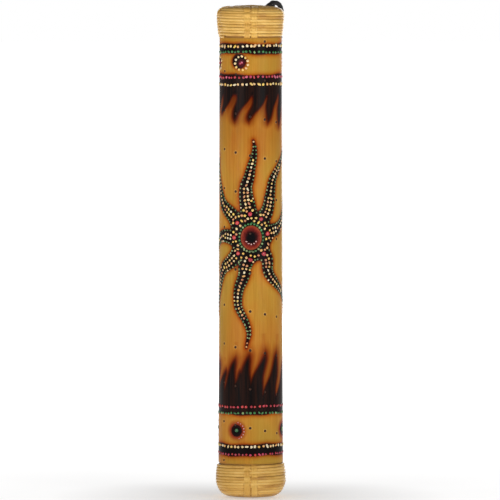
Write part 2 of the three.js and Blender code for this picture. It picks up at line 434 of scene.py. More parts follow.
def make_cord(material):
    """Round braid of eight flat strands, four each way, over a core."""
    route = np.array(CORD_ROUTE) * MM + (0, 0, TOP)
    path = catmull_rom(route, 18)
    out = np.zeros_like(path)
    out[0] = (0, 0, 1)
    along = np.gradient(path, axis=0)
    along /= np.linalg.norm(along, axis=1)[:, None]
    for i in range(1, len(path)):  # each frame is the one before, turned as little as it can be
        out[i] = out[i - 1] - along[i] * np.dot(out[i - 1], along[i])
        out[i] /= np.linalg.norm(out[i])
    sides = 32
    core = CORD_RADIUS * 0.95
    points, faces, along_mm, turn = sweep(path, out, core, core, sides)
    strands, lay = 8, 11 * MM
    wind = 2 * np.pi * along_mm / lay
    right = np.cos(strands / 2 * (turn + wind))
    left = np.cos(strands / 2 * (turn - wind))
    over = np.cos(strands * np.pi * along_mm / lay)
    weave = np.where(over > 0, np.maximum(right, 0.6 * left), np.maximum(left, 0.6 * right))
    centre = np.repeat(path, sides, axis=0)
    points = centre + (points - centre) * (1 + 0.09 * weave - 0.05)[:, None]
    mesh = mesh_from("hanging_cord_braid", points, faces)
    piece = new_object("hanging_cord_braid", mesh, material, "black_cord")
    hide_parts("hanging_cord")
    tuple(route[2])


def make_knots(material):
    """Each knot is a strand of the cord wound over itself twice into a ball."""
    for number in (1, 2):
        low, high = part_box(f"cord_knot_{number}")
        centre = (np.array(low) + np.array(high)) / 2
        radius = (high[0] - low[0]) / 2
        t = np.linspace(0, 2 * np.pi, 90)
        ring = 0.58 * radius
        path = np.stack(
            [
                (ring + 0.25 * ring * np.cos(3 * t)) * np.cos(2 * t),
                (ring + 0.25 * ring * np.cos(3 * t)) * np.sin(2 * t),
                0.45 * ring * np.sin(3 * t),
            ],
            axis=1,
        )
        out = path + (0, 0, 1e-6)
        points, faces, _, _ = sweep(path + centre, out, 0.38 * radius, 0.38 * radius, 10)
        mesh = mesh_from(f"cord_knot_{number}_ball", points, faces)
        piece = new_object(mesh.name, mesh, material, "black_cord")
        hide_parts(f"cord_knot_{number}")


# ---------------------------------------------------------------- rattan caps

STRAND_PITCH = 2.4 * MM
COIL_START = 1.3 * MM         # from the axis to the strand's inner end
STRAND_DEPTH = 0.85 * MM      # half of it
TIE_HALF_WIDTH = 2.55 * MM
TIE_HALF_DEPTH = 0.42 * MM
TIE_LIFT = -0.15 * MM         # a tie's middle over the coils that it holds down
TIE_SINK = -1.0 * MM          # and under the others
TIE_SPACING = 6.2 * MM
COIL_DIP = -0.5 * MM          # how a coil moves where a tie holds it down
COIL_RISE = 0.12 * MM         # and where it holds the tie down
COIL_WANDER = 0.16 * MM       # how far a coil strays from an even spiral
TUCK = -1.7 * MM              # how deep a tie's ends go in
FOOT_RADIUS = 19.5 * MM
TIE_ANGLES = {"top": (0, 180, 270), "bottom": (0, 120, 240)}
LONG_OVER = 5                 # coils under a tie before it goes under and over by turns


def quadratic(start, control, end, count):
    t = np.linspace(0, 1, count)[:, None]
    start, control, end = (np.array(p, dtype=float) for p in (start, control, end))
    return (1 - t) ** 2 * start + 2 * t * (1 - t) * control + t**2 * end


def cap_outline(where):
    """Points of (radius, depth from the crown) in metres, evenly spaced from the axis."""
    if where == "top":
        edge = (TOP - TOP_EDGE) / MM
        parts = [
            quadratic((0.4, 0), (14, 0.2), (22, 1.8), 40),
            quadratic((22, 1.8), (27.7, 3.2), (27.7, 9.3), 40)[1:],
            quadratic((27.7, 9.3), (27.6, 17), (26, edge), 40)[1:],
        ]
    else:
        edge = BOTTOM_EDGE / MM
        parts = [
            quadratic((0.4, 0), (FOOT_RADIUS / MM * 0.6, 0), (FOOT_RADIUS / MM, 0.9), 40),
            quadratic((FOOT_RADIUS / MM, 0.9), (26.9, 2.6), (28.95, 13), 40)[1:],
            quadratic((28.95, 13), (29, 24), (27.2, edge), 40)[1:],
        ]
    line = np.vstack(parts) * MM
    return line, travel(line)


class Cap:
    """One end's outline, with the weave that its coils and ties share."""

    def __init__(self, where, tie_start):
        self.where, self.tie_start = where, tie_start
        self.first_row = math.ceil((tie_start - COIL_START) / STRAND_PITCH)
        self.line, self.travelled = cap_outline(where)
        self.length = self.travelled[-1]
        self.ties = []
        for angle in TIE_ANGLES[where]:
            self.ties += [(angle, -TIE_SPACING / 2), (angle, TIE_SPACING / 2)]

    def at(self, s):
        """Radius, depth and outward normal at a distance from the axis along the outline."""
        s = np.clip(s, 0, self.length)
        radius, depth = (np.interp(s, self.travelled, values) for values in self.line.T)
        step = 0.4 * MM
        ahead, back = np.minimum(s + step, self.length), np.maximum(s - step, 0)
        dr, dd = (
            np.interp(ahead, self.travelled, values) - np.interp(back, self.travelled, values)
            for values in self.line.T
        )
        size = np.hypot(dr, dd)
        return radius, depth, dd / size, -dr / size

    def place(self, angle, s, lift):
        """Points in the row frame, lift metres out from the outline, and their normals."""
        radius, depth, out_r, out_d = self.at(s)
        radius = radius + lift * out_r
        depth = depth + lift * out_d
        turn = np.radians(angle)
        height = TOP - depth if self.where == "top" else depth
        points = np.stack([radius * np.sin(turn), -radius * np.cos(turn), height], axis=-1)
        rise = -out_d if self.where == "top" else out_d
        normals = np.stack([out_r * np.sin(turn), -out_r * np.cos(turn), rise], axis=-1)
        return points, normals

    def over(self, tie, row):
        """Whether a tie lies over a coil: a long stretch at the crown, then by turns."""
        row = np.asarray(row)
        return (row < self.first_row + LONG_OVER) | ((row + tie) % 2 == 0)


def rattan_material(name, light, dark, deep):
    """Varnished cane: fibres along the strand, a darker skin in places, pores, painted shade in the
    grooves between rows and along the foot.
    """
    n = Nodes(name)
    along = n.attribute("along")
    across = n.attribute("across")
    tone = n.attribute("tone")
    join = n.add("ShaderNodeCombineXYZ")
    n.link(n.times(along, 0.06), join.inputs["X"])
    n.link(n.times(across, 2.6), join.inputs["Y"])
    n.link(tone, join.inputs["Z"])
    fibre = n.noise(join.outputs["Vector"], 3.0, 5, 0.65)
    patch_place = n.add("ShaderNodeCombineXYZ")
    n.link(n.times(along, 0.03), patch_place.inputs["X"])
    n.link(tone, patch_place.inputs["Y"])
    patch = n.noise(patch_place.outputs["Vector"], 2.0, 3, 0.6)
    blend = n.plus(n.times(fibre, 0.55), n.times(patch, 0.45))
    blend = n.plus(blend, n.swing(tone, 0.26))
    colour = n.ramp(blend, [(0.3, deep), (0.46, dark), (0.62, light)])
    seam = n.attribute("seam")
    # Painted shade in the grooves between the coil's rows, broken up by the patches.
    painted_groove_shade = n.times(n.range(seam, 0.0, 0.45, 0.7, 0.0), n.range(patch, 0.34, 0.64, 0.15, 1.0))
    colour = n.mix(painted_groove_shade, colour, srgb(112, 70, 28))
    # Painted shade along the foot's lowest edge, darker towards the floor
    height = n.add("ShaderNodeSeparateXYZ")
    n.link(n.place(), height.inputs["Vector"])
    painted_foot_shade = n.range(height.outputs["Z"], 0.5 * MM, 4.5 * MM, 0.8, 0.0)
    colour = n.mix(n.times(painted_foot_shade, n.range(fibre, 0.3, 0.6)), colour, srgb(66, 40, 18))
    n.set(
        Base_Color=colour,
        Roughness=n.range(fibre, 0.3, 0.7, 0.3, 0.5),
        Normal=n.bump(fibre, 0.12 * MM, 0.55),
        Coat_Weight=0.22,
        Coat_Roughness=0.2,
        Specular_IOR_Level=0.25,
    )
    return n.material


def sway(x, seed, waves=((1.0, 1.0), (2.3, 0.6), (5.1, 0.35))):
    """Slow repeatable wander between about -1 and 1."""
    phases = np.random.default_rng(seed).uniform(0, 2 * np.pi, len(waves))
    total = sum(size * np.sin(rate * x + p) for (rate, size), p in zip(waves, phases))
    return total / sum(size for _, size in waves)


def make_coil(cap, material):
    """One strand wound from the crown out over the shoulder and down to the cap's edge."""
    rows = (cap.length - COIL_START - STRAND_PITCH / 2) / STRAND_PITCH
    total = 360 * rows
    step_length = 1.3 * MM
    turns, turn = [0.0], 0.0
    while turn < total:
        radius = max(cap.at(COIL_START + STRAND_PITCH * turn / 360)[0], 1.2 * MM)
        turn += math.degrees(step_length / radius)
        turns.append(min(turn, total))
    turns = np.array(turns)
    row = turns / 360
    s = COIL_START + STRAND_PITCH * row
    s = s + COIL_WANDER * sway(row * 2 * np.pi * 0.37, 3 if cap.where == "top" else 5)
    lift = -STRAND_DEPTH + 0.12 * MM * (sway(np.radians(turns), 11) - 1)
    for tie, (angle, sideways) in enumerate(cap.ties):
        offset = (turns - angle + 180) % 360 - 180
        radius = cap.at(s)[0]
        arc = np.radians(offset) * radius - sideways
        near = np.exp(-((arc / (1.15 * TIE_HALF_WIDTH)) ** 4))
        near = near * (s > cap.tie_start - STRAND_PITCH)
        whole_row = np.floor(row)
        lift = lift + near * np.where(cap.over(tie, whole_row), COIL_DIP, COIL_RISE)
    path, out = cap.place(turns, s, lift)
    width = STRAND_PITCH * (0.5 + 0.03 * sway(np.radians(turns) * 0.8, 21))
    sides = 12
    points, faces, along, across = sweep(path, out, width, STRAND_DEPTH, sides, 0.8)
    mesh = mesh_from(f"{cap.where}_coil", points, faces)
    add_float(mesh, "along", along / MM)
    add_float(mesh, "across", across)
    shade = np.repeat(0.5 + 0.5 * sway(row * 4.7, 31), sides)
    add_float(mesh, "tone", shade)
    # Low on a strand's sides and underside, where the material paints shade between the rows.
    add_float(mesh, "seam", np.sin(across) + 0.12)
    piece = new_object(f"{cap.where}_coil", mesh, material, "rattan")
    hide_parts(f"{cap.where}_rattan_cap")


def make_ties(cap, material):
    for number, (angle, sideways) in enumerate(cap.ties):
        end = cap.length - 0.6 * MM
        s = np.arange(cap.tie_start, end, 0.5 * MM)
        row = (s - COIL_START) / STRAND_PITCH - angle / 360
        weave = np.zeros_like(s)
        span = np.arange(math.floor(row[0]) - 1, math.ceil(row[-1]) + 2)
        for k in span:
            share = np.clip(1 - np.abs(row - k), 0, 1)
            share = share * share * (3 - 2 * share)
            weave += share * np.where(cap.over(number, k), TIE_LIFT, TIE_SINK)
        tuck = smoothstep(0, 2.5 * MM, s - s[0]) * smoothstep(0, 2.0 * MM, s[-1] - s)
        lift = weave * tuck + (1 - tuck) * TUCK
        radius = cap.at(s)[0]
        where = angle + np.degrees(sideways / radius)
        where = where + np.degrees(0.12 * MM / radius) * sway(s / MM * 0.5, 40 + number)
        path, out = cap.place(where, s, lift)
        width = TIE_HALF_WIDTH * (1 + 0.05 * sway(s / MM * 0.4, 50 + number))
        sides = 14
        points, faces, along, across = sweep(path, out, width, TIE_HALF_DEPTH, sides, 0.55)
        mesh = mesh_from(f"{cap.where}_tie_{number + 1}", points, faces)
        add_float(mesh, "along", along / MM)
        add_float(mesh, "across", across * 1.7)
        add_float(mesh, "tone", np.full(len(along), 0.35 + 0.3 * (number % 3) / 2))
        # Ties get no painted groove shade.
        add_float(mesh, "seam", np.ones(len(along)))
        piece = new_object(mesh.name, mesh, material, "rattan_tie")
        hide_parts(f"{cap.where}_rattan_tie_{number + 1}")


def make_caps():
    coil = rattan_material(
        "rattan_coil", srgb(236, 192, 106), srgb(216, 167, 78), srgb(176, 122, 52)
    )
    strap = rattan_material(
        "rattan_tie", srgb(240, 198, 110), srgb(218, 168, 78), srgb(172, 116, 48)
    )
    for where, tie_start in (("top", 15 * MM), ("bottom", 20.5 * MM)):
        cap = Cap(where, tie_start)
        make_coil(cap, coil)
        make_ties(cap, strap)


# ---------------------------------------------------------------- bamboo tube

BORE = 21 * MM
WALL_HEIGHTS = np.array([29.6, 98, 170, 245, 376.9]) * MM
WALL_RADII = np.array([26.5, 26.25, 26.03, 25.87, 25.55]) * MM
TUBE_LOW, TUBE_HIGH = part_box("bamboo_tube")[0][2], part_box("bamboo_tube")[1][2]
SEAT_DROP = 1.4 * MM          # the wall is shaved down under each cap
MEAN_WALL = 26                # mm, for shapes that run all the way up the tube

PEG_HOLE = 1.15 * MM
PEG_RADIUS = 1.0 * MM
PEG_STEP = 2.454              # mm from one peg down to the next
PEGS_PER_TURN = 13
PEG_COUNT = 141
TOP_PEG = 375.0
TOP_PEG_INDEX = -51
FRONT_PEG_ANGLE = -1
PEG_TURN = 360 / PEGS_PER_TURN

# Painted bands: (lowest, highest) height in mm of each black stripe.
STRIPES = ((365.0, 372.9), (331.0, 347.7), (69.6, 84.0), (35.7, 44.9))
# Rows of dots: (height in mm, kind, radius in mm, spacing in mm).
DOT_ROWS = (
    (371.2, "cream", 1.15, 3.5),
    (366.2, "green", 1.0, 3.35),
    (345.9, "rose", 1.1, 3.3),
    (339.8, "cream", 1.15, 3.5),
    (75.9, "red", 1.05, 3.5),
    (70.4, "green", 1.0, 3.3),
    (43.3, "cream", 1.15, 3.45),
    (36.9, "rose", 0.95, 3.3),
)

# Tongues of burnt flame: (angle at the root, angle at the tip, height of the tip).
TOP_ROOT, BOTTOM_ROOT = 336, 80
TOP_FLAMES = (
    (-46, -65, 312), (-12, -33, 305), (18, -3, 305), (46, 31, 304), (77, 60, 301),
    (106, 88, 308), (137, 118, 303), (167, 146, 309), (196, 178, 302), (226, 205, 307),
    (256, 237, 303), (286, 268, 309),
)
BOTTOM_FLAMES = (
    (-92, -76, 118), (-68, -52, 110), (-44, -29, 121), (-28, -18, 110), (-12, -4, 125),
    (8, 26, 127), (36, 55, 126), (68, 84, 117), (97, 113, 125), (112, 122, 106),
    (128, 143, 119), (155, 172, 127), (170, 180, 108), (187, 201, 118), (213, 231, 124),
    (230, 238, 107), (244, 259, 119),
)

FLAME_HALF_WIDTH = 7.6        # mm, at the root
FLAME_SOFTNESS = (2.3, 3.8)   # mm that the edge fades over: at the root, and more at the tip
FLAME_HALO = 6.0              # mm of toasted bamboo beyond the edge
TOP_TOAST, BOTTOM_TOAST = 0.38, 0.14

# The burnt sun: its arms' centre lines, as (degrees, mm) from its middle.
SUN_AT = (0.9, 215.4)
SUN_ARMS = (
    ((-2, 12), (-6, 24), (-9.8, 35), (-9, 42), (-4.5, 48), (0, 57), (5, 66), (6, 73), (3.6, 79)),
    ((18, 12), (31, 21), (36, 30), (39, 38), (43, 46), (55, 54), (73, 63), (90, 74)),
    ((33, 2), (40, 4.5), (54, 6), (68, 10), (83, 19), (98, 34)),
    ((20, -11), (31, -19), (32, -27), (37, -32), (45, -36), (61, -42), (74, -47), (94, -60)),
    ((-3, -15), (-12, -25), (-13, -31), (-17, -36), (-22.5, -42), (-25, -49), (-24, -57),
     (-18, -63), (-11.6, -68), (-6, -74), (-4, -80), (-7, -86), (-9, -91)),
    ((-22, -12), (-33, -18), (-44, -22), (-58, -26), (-67, -32), (-75, -42), (-84, -54), (-88, -66)),
    ((-34, -1), (-46, 0), (-62, 0), (-78, -3), (-95, -10), (-108, -22)),
    ((-24, 10), (-36, 17), (-50, 22), (-62, 27), (-70, 35), (-78, 46), (-82, 56), (-80, 66)),
)
# Half the width of each arm where it leaves the body, and of every arm's tip.
ARM_BASES = (7.6, 6.6, 6.0, 6.2, 5.8, 6.4, 6.2, 6.6)
ARM_TIP = 0.6
SUN_BODY = (17.5, 20.5)       # half its width and height, mm
EYE = (8.6, 9.8)
EYE_DROP = 0.8                # how far the eye's middle lies below the sun's
# One large red drop at the root of each arm: (mm across, mm up).
RED_DROPS = (
    (-0.9, 18.6), (8.2, 14.5), (14.2, 2.3), (10.7, -14.2),
    (-0.7, -18.9), (-11.1, -13.7), (-14.8, -0.8), (-11.9, 11.3),
)
BACK_SUN_AT = (181.0, 204.0)
BACK_SUN_SCALE = 0.86

# Medallions between the bands: (angle, height, kind).
MEDALLIONS = (
    (-17.4, 357.3, "ring"), (-80, 357.0, "ring"), (-138, 357.6, "ring"),
    (160, 356.8, "ring"), (103, 357.4, "ring"),
    (-26.2, 56.2, "spot"), (-96, 57.0, "spot"), (-160, 56.0, "spot"),
    (138, 57.2, "spot"), (76, 56.4, "spot"),
)
RING_RADIUS, SPOT_RADIUS = 5.6, 5.0
# The black behind a ring of dots sits up and to the left of it.
PATCH_SHIFT, PATCH_RADIUS = (-2.1, 1.5), 6.0


def wall_radius(height):
    return np.interp(height, WALL_HEIGHTS, WALL_RADII)


def wrap(degrees):
    return (np.asarray(degrees) + 180) % 360 - 180


def flat(angle, height, centre):
    """Millimetres across and up from a centre, on the tube unrolled."""
    radius = wall_radius(centre[1] * MM) / MM
    return np.radians(wrap(angle - centre[0])) * radius, height - centre[1]


def line_distance(x, y, line, half):
    """Signed distance from a tapering line: negative inside it."""
    best = np.full(x.shape, 1e3)
    for (ax, ay), (bx, by), ra, rb in zip(line[:-1], line[1:], half[:-1], half[1:]):
        dx, dy = bx - ax, by - ay
        t = np.clip(((x - ax) * dx + (y - ay) * dy) / (dx * dx + dy * dy), 0, 1)
        gap = np.hypot(x - ax - t * dx, y - ay - t * dy) - (ra + (rb - ra) * t)
        best = np.minimum(best, gap)
    return best


class Sun:
    """A burnt sun on the unrolled tube, in mm across and up from its own middle."""

    SOFTNESS = 3.0                # how broadly an arm's edges run into its neighbours'
    CELL = 0.5
    REACH = np.array((60.0, 100.0))

    def __init__(self, centre, scale, mirror):
        self.centre, self.scale, self.mirror = centre, scale, mirror
        self.wall = float(wall_radius(centre[1] * MM)) / MM
        self.arms = []
        for points, base in zip(SUN_ARMS, ARM_BASES):
            line = [(mirror * math.radians(a) * self.wall * scale, h * scale) for a, h in points]
            line = catmull_rom(np.array(line), 6)
            travelled = travel(line)
            share = travelled / travelled[-1]
            half = scale * (ARM_TIP + (base - ARM_TIP) * (1 - share) ** 0.8)
            self.arms.append((line, half, travelled))
        columns, rows = (np.arange(-r, r, self.CELL) for r in self.REACH)
        x, y = np.meshgrid(columns, rows)
        self.layers = [(np.hypot(x / SUN_BODY[0], y / SUN_BODY[1]) - scale) * SUN_BODY[0]]
        self.layers += [line_distance(x, y, line, half) for line, half, _ in self.arms]
        self.edge = self.merged()

    def merged(self, skip=None):
        """Signed distance from the edge of the body and of every arm but one."""
        best = self.layers[0]
        for number, layer in enumerate(self.layers[1:]):
            if number != skip:
                mixed = np.clip(0.5 + 0.5 * (layer - best) / self.SOFTNESS, 0, 1)
                best = layer * (1 - mixed) + best * mixed - self.SOFTNESS * mixed * (1 - mixed)
        return best

    def sample(self, layer, x, y):
        """Values of a layer at places in mm, between its cells."""
        column = np.clip((np.asarray(x) + self.REACH[0]) / self.CELL, 0, layer.shape[1] - 1.001)
        row = np.clip((np.asarray(y) + self.REACH[1]) / self.CELL, 0, layer.shape[0] - 1.001)
        i, j = row.astype(int), column.astype(int)
        u, v = row - i, column - j
        low = layer[i, j] * (1 - v) + layer[i, j + 1] * v
        high = layer[i + 1, j] * (1 - v) + layer[i + 1, j + 1] * v
        return low * (1 - u) + high * u

    def distance(self, angle, height):
        x, y = flat(angle, height, self.centre)
        near = (np.abs(x) < self.REACH[0] - 1) & (np.abs(y) < self.REACH[1] - 1)
        return np.where(near, self.sample(self.edge, x, y), 20.0)

    def eye(self, x, y):
        """1 on the rim of the eye and less inside it."""
        drop = EYE_DROP * self.scale
        return np.hypot(x / (EYE[0] * self.scale), (y + drop) / (EYE[1] * self.scale))


SUNS = (Sun(SUN_AT, 1.0, 1), Sun(BACK_SUN_AT, BACK_SUN_SCALE, -1))


def paint_distance(angle, height):
    """Signed distance in mm from the nearest painted shape, negative inside it."""
    best = np.minimum(*(sun.distance(angle, height) for sun in SUNS))
    turn = np.radians(angle)
    for number, (low, high) in enumerate(STRIPES):
        waver = 0.45 * np.sin(3 * turn + number) + 0.3 * np.sin(8 * turn + 2.3 * number)
        gap = np.abs(height + waver - (low + high) / 2) - (high - low) / 2
        best = np.minimum(best, gap)
    for a, h, kind in MEDALLIONS:
        x, y = flat(angle, height, (a, h))
        if kind == "ring":
            gap = np.hypot(x - PATCH_SHIFT[0], y - PATCH_SHIFT[1]) - PATCH_RADIUS
        else:
            gap = np.hypot(x, y) - SPOT_RADIUS
        best = np.minimum(best, gap)
    return best


def eye_radius(angle, height):
    """1 on the rim of a sun's eye, less inside it and 3 far outside."""
    eyes = [sun.eye(*flat(angle, height, sun.centre)) for sun in SUNS]
    return np.minimum(np.minimum(*eyes), 3.0)


def blush(angle, height):
    """1 in the middle of a ring medallion, falling to 0."""
    best = np.zeros(np.shape(angle))
    for a, h, kind in MEDALLIONS:
        if kind == "ring":
            x, y = flat(angle, height, (a, h))
            best = np.maximum(best, 1 - smoothstep(1.0, 4.2, np.hypot(x, y)))
    return best


def glow_reach(angle, height):
    """Distance in mm from what the airbrush went round most widely: the spot medallions."""
    best = np.full(np.shape(angle), 50.0)
    for a, h, kind in MEDALLIONS:
        if kind == "spot":
            x, y = flat(angle, height, (a, h))
            best = np.minimum(best, np.hypot(x, y) - SPOT_RADIUS)
    return best


def flame_heat(angle, height, flames, root, between):
    """How burnt the bamboo is, from 0 to 1: tongues that bend over and fade at their tips.

    between is how burnt it is in the gaps between their roots.
    """
    heat = np.zeros(np.shape(angle))
    up = np.sign(flames[0][2] - root)
    heat = np.maximum(heat, 1 - smoothstep(-2, 11, (height - root) * up))
    reach = (height - root) / (np.mean([tip for _, _, tip in flames]) - root)
    toast = between * (1 - smoothstep(0.2, 1.0, reach))
    toast = toast + 0.4 * between * (1 - smoothstep(1.0, 2.5, reach))
    heat = np.maximum(heat, toast)
    for start, end, tip in flames:
        t = np.clip((height - root) / (tip - root), -0.2, 1.25)
        bend = smoothstep(0.05, 0.95, t)
        ripple = 2.2 * np.sin(7.5 * t + start)
        centre = start + (end - start) * bend + ripple * smoothstep(0.1, 0.5, t)
        gap = np.abs(wrap(angle - centre)) * math.pi / 180 * MEAN_WALL
        half = FLAME_HALF_WIDTH * np.clip(1.04 - t, 0, 1.3) ** 0.75
        soft = FLAME_SOFTNESS[0] + FLAME_SOFTNESS[1] * np.clip(t, 0, 1)
        inside = smoothstep(-soft, soft, half - gap)
        fade = 1 - smoothstep(0.72, 1.08, t)
        halo = 0.55 * smoothstep(-soft - FLAME_HALO, soft, half - gap)
        halo = halo * (1 - smoothstep(0.8, 1.22, t))
        heat = np.maximum(heat, np.maximum(inside * (0.35 + 0.65 * fade) * (t < 1.2), halo))
    return heat


def peg_distance(angle, height):
    """Distance in mm to the nearest peg's middle, up to 6."""
    column = np.round((angle - FRONT_PEG_ANGLE) / PEG_TURN)
    first = TOP_PEG - (column - TOP_PEG_INDEX) * PEG_STEP
    pitch = PEG_STEP * PEGS_PER_TURN
    row = np.round((first - height) / pitch)
    index = column + PEGS_PER_TURN * row
    index = np.where(index < TOP_PEG_INDEX, index + PEGS_PER_TURN, index)
    last = TOP_PEG_INDEX + PEG_COUNT - 1
    index = np.where(index > last, index - PEGS_PER_TURN, index)
    up = height - (TOP_PEG - (index - TOP_PEG_INDEX) * PEG_STEP)
    across = np.radians(wrap(angle - FRONT_PEG_ANGLE - column * PEG_TURN)) * MEAN_WALL
    return np.minimum(np.hypot(across, up), 6)


def pegs():
    """Each peg's index, angle and height in metres, from the top of the helix down."""
    for i in range(PEG_COUNT):
        index = TOP_PEG_INDEX + i
        yield i, FRONT_PEG_ANGLE + index * PEG_TURN, (TOP_PEG - i * PEG_STEP) * MM


def bamboo_material():
    n = Nodes("painted_bamboo")
    place = n.place()
    fine = n.noise(n.place((1, 1, 0.02)), 1500, 4, 0.65)
    fibre = n.noise(n.place((1, 1, 0.05)), 480, 3, 0.6)
    broad = n.noise(n.place((1, 1, 0.22)), 60, 3, 0.55)
    speck = n.noise(place, 900, 2, 0.5)
    grain = n.plus(n.times(fine, 0.35), n.times(fibre, 0.3))
    grain = n.plus(grain, n.times(broad, 0.35))
    bare = n.tones(
        grain, (0.34, 172, 110, 36), (0.46, 190, 131, 45), (0.56, 201, 144, 54), (0.68, 212, 158, 68)
    )
    tint = n.noise(n.place((1, 1, 0.4)), 26, 3, 0.6)
    bare = n.mix(n.range(tint, 0.42, 0.62, 0, 0.55), bare, srgb(168, 140, 54))
    bare = n.mix(n.range(tint, 0.5, 0.34, 0, 0.5), bare, srgb(190, 118, 48))
    # Burnt flames
    wander = n.swing(broad, 0.22)
    burn = n.attribute("burn")
    heat = n.plus(burn, n.times(wander, burn))
    scorch = n.tones(
        heat,
        (0.0, 255, 255, 255),
        (0.2, 232, 204, 182),
        (0.42, 178, 116, 88),
        (0.62, 112, 54, 38),
        (0.85, 58, 30, 24),
        (1.0, 34, 22, 17),
    )
    colour = n.mix(1.0, bare, scorch, "MULTIPLY")
    # Airbrushed edge and black body of the painted shapes
    paint = n.attribute("paint")
    ragged = n.swing(speck, 0.9)
    edge = n.plus(paint, ragged)
    halo = n.tones(
        n.range(edge, 0.0, 4.4, 1.0, 0.0),
        (0.0, 255, 255, 255),
        (0.45, 248, 230, 210),
        (0.78, 226, 168, 130),
        (1.0, 142, 74, 50),
    )
    colour = n.mix(1.0, colour, halo, "MULTIPLY")
    body = n.tones(
        n.range(edge, -2.4, 0.3), (0.0, 16, 8, 8), (0.7, 36, 12, 9), (1.0, 78, 28, 18)
    )
    colour = n.mix(n.range(edge, 0.4, -0.3), colour, body)
    char = n.mix(n.range(fibre, 0.4, 0.62), srgb(16, 11, 11), srgb(40, 20, 14))
    colour = n.mix(n.range(heat, 0.7, 0.95), colour, char)
    # Red mist round the spots
    mist = n.range(n.plus(n.attribute("mist"), ragged), 0.0, 4.8, 0.9, 0.0)
    outside = n.range(edge, -0.2, 0.5)
    colour = n.mix(n.times(mist, outside), colour, srgb(142, 44, 34))
    # The sun's eye and the medallions' hearts
    eye = n.attribute("eye")
    cloud = n.noise(place, 420, 3, 0.6)
    iris = n.tones(
        n.plus(eye, n.swing(cloud, 0.35)),
        (0.0, 12, 12, 15),
        (0.38, 15, 11, 13),
        (0.52, 54, 16, 15),
        (0.68, 102, 30, 26),
        (0.85, 136, 44, 32),
        (0.98, 152, 70, 40),
    )
    colour = n.mix(n.range(eye, 1.04, 0.98), colour, iris)
    colour = n.mix(n.times(n.attribute("blush"), 0.6), colour, srgb(112, 26, 40))
    # Peg holes: a pale chipped lip round each, and raw bamboo inside
    peg = n.attribute("peg")
    lip = n.times(n.range(peg, 1.1, 1.25), n.range(n.plus(peg, ragged), 1.55, 2.1, 1, 0))
    clean = n.times(n.range(edge, 0.5, 2.5), n.range(heat, 0.5, 0.2))
    lip = n.times(lip, clean)
    colour = n.mix(n.times(lip, 0.3), colour, srgb(226, 180, 104))
    raw = n.attribute("raw")
    colour = n.mix(raw, colour, srgb(178, 132, 74))
    relief = n.plus(n.times(fine, 0.6), n.times(fibre, 0.4))
    n.set(
        Base_Color=colour,
        Roughness=n.range(n.plus(fibre, n.times(raw, 0.5)), 0.3, 1.1, 0.3, 0.62),
        Normal=n.bump(relief, 0.09 * MM, 0.4),
        Coat_Weight=0.03,
        Coat_Roughness=0.1,
        Specular_IOR_Level=0.03,
    )
    return n.material


def tube_mesh():
    """Closed wall: fine rows where it shows, shaved seats under the caps, plain bore."""
    around_count, shown_rows = 240, 350
    seat_low = float(wall_radius(BOTTOM_EDGE)) - SEAT_DROP
    seat_high = float(wall_radius(TOP_EDGE)) - SEAT_DROP
    under, inset, bevel = 1.0 * MM, 0.3 * MM, 0.6 * MM
    low, high = BOTTOM_EDGE - under, TOP_EDGE + under
    heights = np.linspace(low, high, shown_rows)
    profile = [(BORE, TUBE_LOW), (seat_low, TUBE_LOW), (seat_low, low - inset)]
    profile += [(float(wall_radius(h)) - (bevel if h in (low, high) else 0), h) for h in heights]
    profile += [(seat_high, high + inset), (seat_high, TUBE_HIGH), (BORE, TUBE_HIGH)]
    angles = 2 * np.pi * np.arange(around_count) / around_count
    profile = np.array(profile)
    points = np.stack(
        [
            profile[:, None, 0] * np.sin(angles),
            -profile[:, None, 0] * np.cos(angles),
            np.repeat(profile[:, 1:], around_count, axis=1),
        ],
        axis=-1,
    ).reshape(-1, 3)
    return mesh_from("bamboo_wall", points, bands(0, len(profile), around_count, loop=True))


def hole_cutter():
    sides = 14
    inner, outer = BORE - 2 * MM, 30 * MM
    points, faces = [], []
    for _, angle, height in pegs():
        outward, sideways = spoke(angle)
        first = len(points)
        for radius in (inner, outer):
            for j in range(sides):
                a = 2 * math.pi * j / sides
                spot = outward * radius + sideways * PEG_HOLE * math.cos(a)
                points.append(spot + (0, 0, height + PEG_HOLE * math.sin(a)))
        faces += rod(first, 2, sides)
    return placed("cutter", mesh_from("cutter", points, faces))


